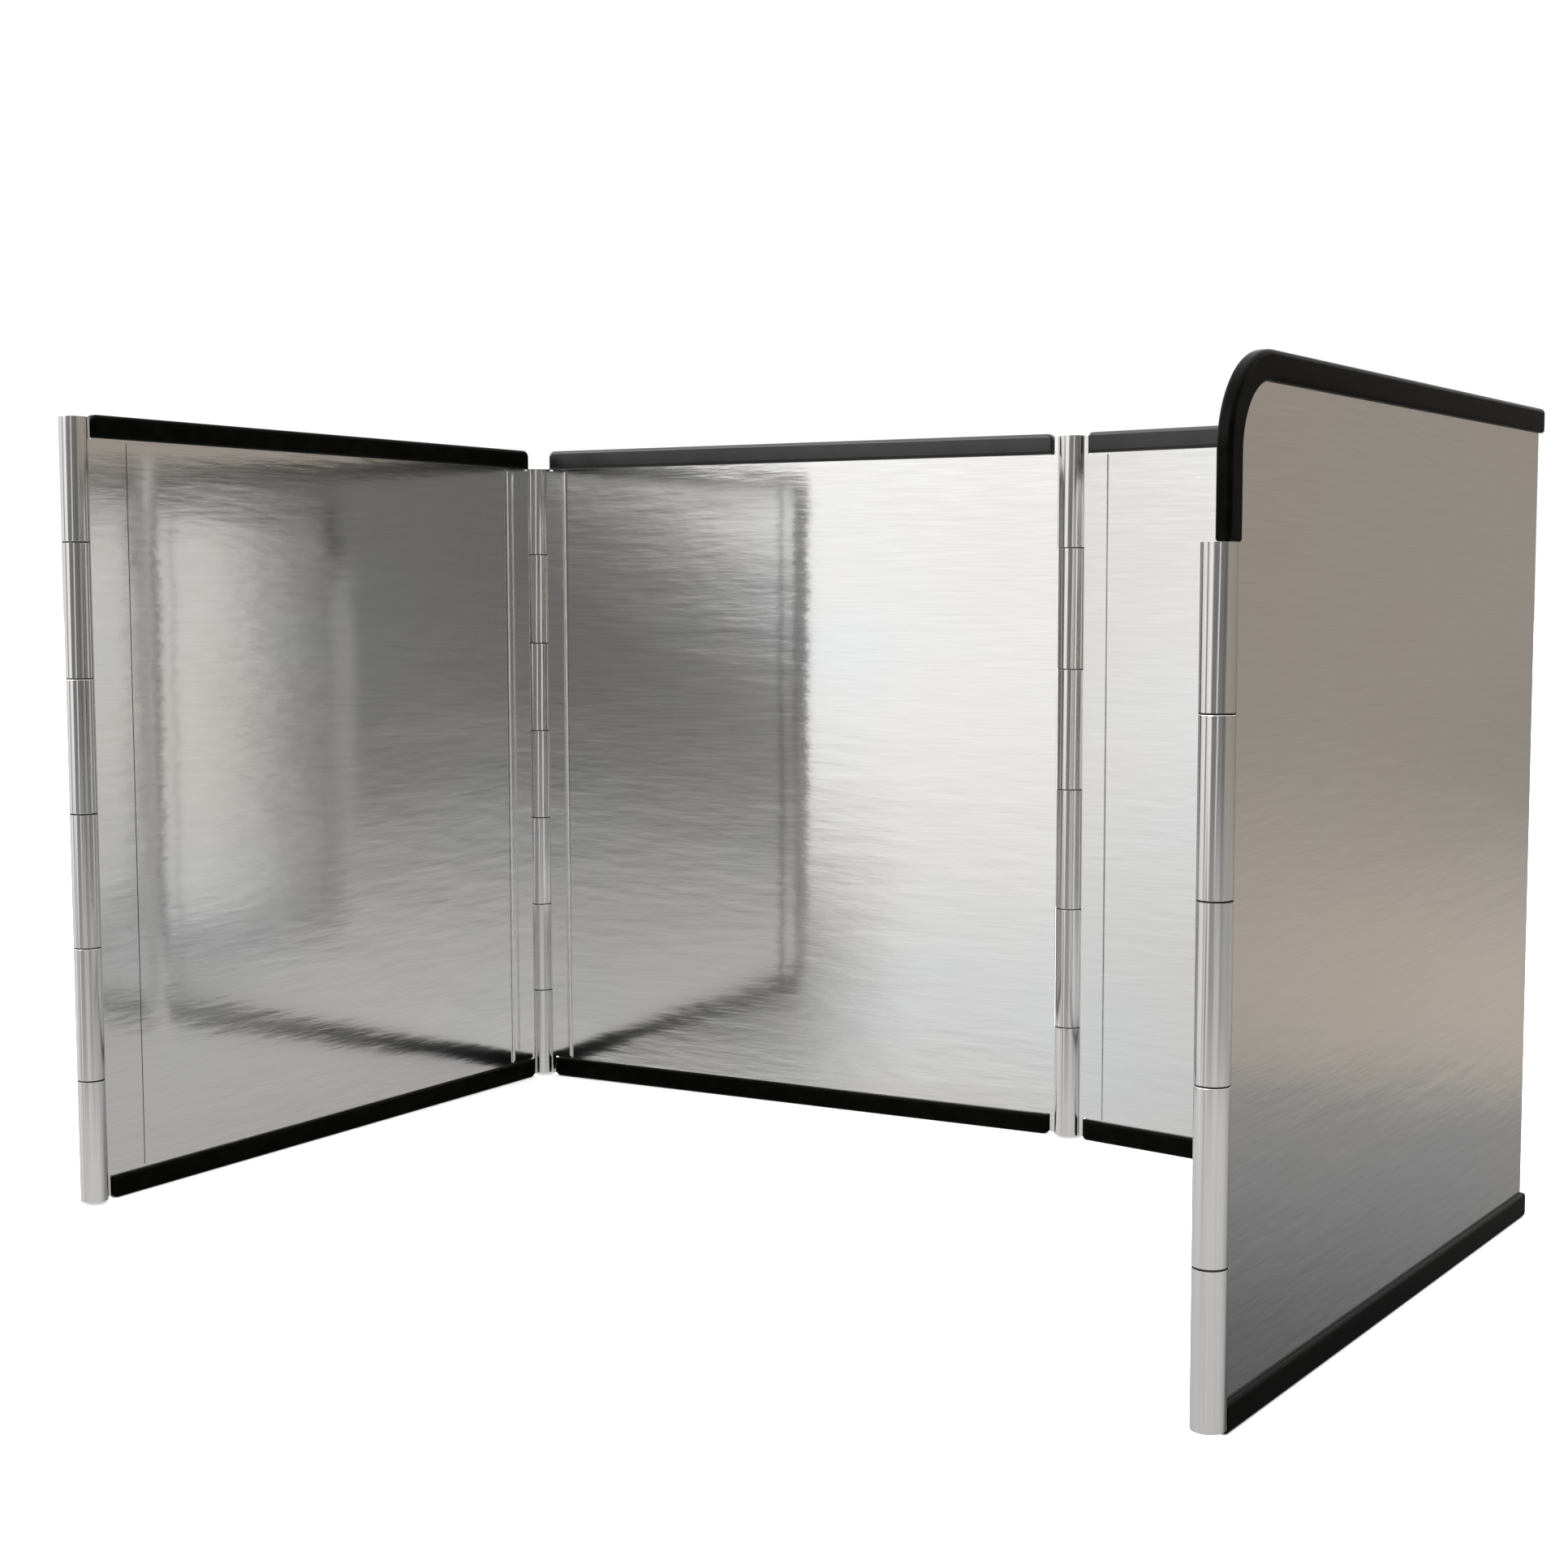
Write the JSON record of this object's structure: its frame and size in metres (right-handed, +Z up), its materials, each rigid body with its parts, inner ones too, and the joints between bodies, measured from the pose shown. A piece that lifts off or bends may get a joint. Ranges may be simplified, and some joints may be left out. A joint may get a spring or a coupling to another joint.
{
  "type": "folding fireplace screen",
  "caption": "Free-standing folding fireplace screen of brushed steel panels with black rubber edge trim, joined by upright barrel hinges into a U.",
  "frame": {"origin": "centre of the bounding box at floor level, the panels unfolded into the U of the rest pose", "axes": "+Z up, +X along the back panel from the left wing towards the short back panel, -Y out of the open side of the U"},
  "size_m": [0.8226, 0.5396, 0.5],
  "materials": {
    "brushed_steel": "satin, brushed along the panel",
    "polished_steel": "polished",
    "black_rubber": "semi-matte black"
  },
  "bodies": {
    "back_panel": {"back_sheet": "brushed_steel", "back_top_trim": "black_rubber", "back_bottom_trim": "black_rubber", "left_corner_leaf_on_back": "brushed_steel", "middle_leaf_on_back": "brushed_steel", "left_corner_pin": "polished_steel", "left_corner_bottom_plug": "polished_steel", "left_corner_top_plug": "polished_steel", "middle_pin": "polished_steel", "middle_bottom_plug": "polished_steel", "middle_top_plug": "polished_steel"},
    "left_wing": {"left_wing_sheet": "brushed_steel", "left_wing_top_trim": "black_rubber", "left_wing_bottom_trim": "black_rubber", "left_corner_leaf_on_wing": "brushed_steel", "left_end_leaf": "brushed_steel", "left_end_sleeve_1": "polished_steel", "left_end_sleeve_2": "polished_steel", "left_end_sleeve_3": "polished_steel", "left_end_pin": "polished_steel", "left_end_bottom_plug": "polished_steel", "left_end_top_plug": "polished_steel"},
    "short_back_panel": {"short_back_sheet": "brushed_steel", "short_back_top_trim": "black_rubber", "short_back_bottom_trim": "black_rubber", "middle_leaf_on_short_back": "brushed_steel", "right_corner_leaf_on_short_back": "brushed_steel", "right_corner_pin": "polished_steel", "right_corner_bottom_plug": "polished_steel", "right_corner_top_plug": "polished_steel"},
    "right_wing": {"right_wing_sheet": "brushed_steel", "right_wing_top_trim": "black_rubber", "right_wing_bottom_trim": "black_rubber", "right_corner_leaf_on_wing": "brushed_steel", "right_end_leaf": "brushed_steel", "right_end_sleeve_1": "polished_steel", "right_end_sleeve_2": "polished_steel", "right_end_pin": "polished_steel", "right_end_bottom_plug": "polished_steel", "right_end_top_plug": "polished_steel"}
  },
  "joints": [
    {"name": "left_corner_hinge", "type": "hinge", "parent": "back_panel", "child": "left_wing", "pos_m": [-0.3835, 0.25983, 0], "axis": [0, 0, 1], "range_deg": [-87.6, 62.4]},
    {"name": "middle_hinge", "type": "hinge", "parent": "back_panel", "child": "short_back_panel", "pos_m": [0.0765, 0.25983, 0], "axis": [0, 0, 1], "range_deg": [-49, 161]},
    {"name": "right_corner_hinge", "type": "hinge", "parent": "short_back_panel", "child": "right_wing", "pos_m": [0.39651, 0.19762, 0], "axis": [0, 0, 1], "range_deg": [-65.6, 84.4]}
  ]
}
